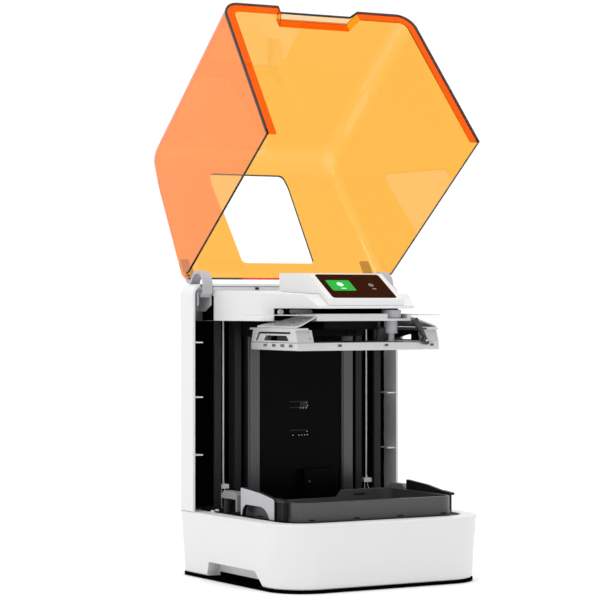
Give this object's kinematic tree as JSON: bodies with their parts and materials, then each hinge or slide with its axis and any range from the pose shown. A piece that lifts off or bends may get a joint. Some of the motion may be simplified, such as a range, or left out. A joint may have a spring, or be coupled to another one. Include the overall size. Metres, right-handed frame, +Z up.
{
  "type": "resin printer",
  "caption": "Desktop resin 3-D printer with a white body, an open amber flip-back hood, a raised build plate, a resin vat and a tilted touch screen.",
  "frame": {"origin": "middle of the footprint on the table, hood open", "axes": "+Z up, front of the printer towards -Y, +X to its right seen from the front"},
  "size_m": [0.316, 0.3805, 0.7403],
  "materials": {
    "white_shell": "satin white moulded plastic",
    "dark_plastic": "fine-grained black",
    "gloss_black": "polished black",
    "grey_metal": "satin dark grey",
    "black_metal": "satin black",
    "aluminium": "blasted, clear anodised",
    "amber": "clear amber, polished, blocks ultraviolet light",
    "vat_grey": "dark grey, satin",
    "light_grey": "light grey",
    "rubber": "matt",
    "green_board": "solder mask",
    "clear": "clear film or lens",
    "steel": "ground"
  },
  "bodies": {
    "chassis": {"base_shell": "white_shell", "bottom_pan": "dark_plastic", "foot_front_left": "rubber", "foot_front_right": "rubber", "foot_rear_left": "rubber", "foot_rear_right": "rubber", "base_deck": "dark_plastic", "lcd_panel": "gloss_black", "light_box": "grey_metal", "fresnel_lens": "clear", "led_board": "green_board", "heat_sink": "aluminium", "main_board": "green_board", "power_supply": "aluminium", "power_inlet": "dark_plastic", "tower_shell": "white_shell", "column_frame": "dark_plastic", "back_panel": "gloss_black", "rail_left": "grey_metal", "rail_right": "grey_metal", "light_bar_left": "light_grey", "light_bar_right": "light_grey", "drip_box": "dark_plastic", "z_motor": "dark_plastic", "screw_bearing": "steel", "fan_housing": "dark_plastic", "hinge_bracket_left": "light_grey", "hinge_bracket_right": "light_grey", "head_shell": "white_shell", "head_plate": "white_shell", "console": "white_shell", "touch_screen": "gloss_black", "vat_tub": "vat_grey", "vat_film": "clear", "vat_wing_left": "vat_grey", "vat_wing_right": "vat_grey"},
    "lid": {"lid_shell": "amber", "hinge_arm_left": "light_grey", "hinge_arm_right": "light_grey"},
    "platform": {"carriage_left": "black_metal", "carriage_right": "black_metal", "lift_yoke": "black_metal", "drive_nut": "steel", "z_arm": "black_metal", "build_plate": "aluminium", "truss_left": "aluminium", "truss_right": "aluminium", "drip_sheet_left": "aluminium", "drip_sheet_right": "aluminium", "cross_bar": "aluminium"},
    "knob": {"clamp_knob": "light_grey"},
    "lever": {"clamp_lever": "dark_plastic"},
    "screw": {"screw_coupler": "aluminium", "lead_screw": "steel"},
    "fan": {"fan_rotor": "dark_plastic"},
    "mains_switch": {"power_switch": "gloss_black"},
    "latch_left": {"vat_latch_left": "light_grey"},
    "latch_right": {"vat_latch_right": "light_grey"}
  },
  "joints": [
    {"name": "lid_hinge", "type": "hinge", "parent": "chassis", "child": "lid", "pos_m": [0, 0.0588, 0.3706], "axis": [1, 0, 0], "range_deg": [0, 128.8]},
    {"name": "platform_slide", "type": "slide", "parent": "chassis", "child": "platform", "axis": [0, 0, 1], "range_m": [-0.21, 0]},
    {"name": "screw_turn", "type": "hinge", "parent": "chassis", "child": "screw", "pos_m": [0, 0.0595, 0.1], "axis": [0, 0, 1], "continuous": true},
    {"name": "knob_turn", "type": "hinge", "parent": "platform", "child": "knob", "pos_m": [0.05, -0.1095, 0.335], "axis": [0, 0, 1], "continuous": true},
    {"name": "lever_turn", "type": "hinge", "parent": "platform", "child": "lever", "pos_m": [0.082, -0.1405, 0.3075], "axis": [0, 1, 0], "range_deg": [0, 75]},
    {"name": "fan_turn", "type": "hinge", "parent": "chassis", "child": "fan", "pos_m": [0, 0.0815, 0.18], "axis": [0, 1, 0], "continuous": true},
    {"name": "switch_rock", "type": "hinge", "parent": "chassis", "child": "mains_switch", "pos_m": [-0.066, 0.0885, 0.037], "axis": [1, 0, 0], "range_deg": [0, 12]},
    {"name": "latch_left_turn", "type": "hinge", "parent": "chassis", "child": "latch_left", "pos_m": [-0.127, 0.0045, 0.104], "axis": [0, 0, 1], "range_deg": [-33, 0]},
    {"name": "latch_right_turn", "type": "hinge", "parent": "chassis", "child": "latch_right", "pos_m": [0.127, 0.0045, 0.104], "axis": [0, 0, 1], "range_deg": [0, 33]}
  ],
  "couplings": [
    {"joint": "screw_turn", "follows": "platform_slide", "rad_per_m": -1570.8}
  ]
}
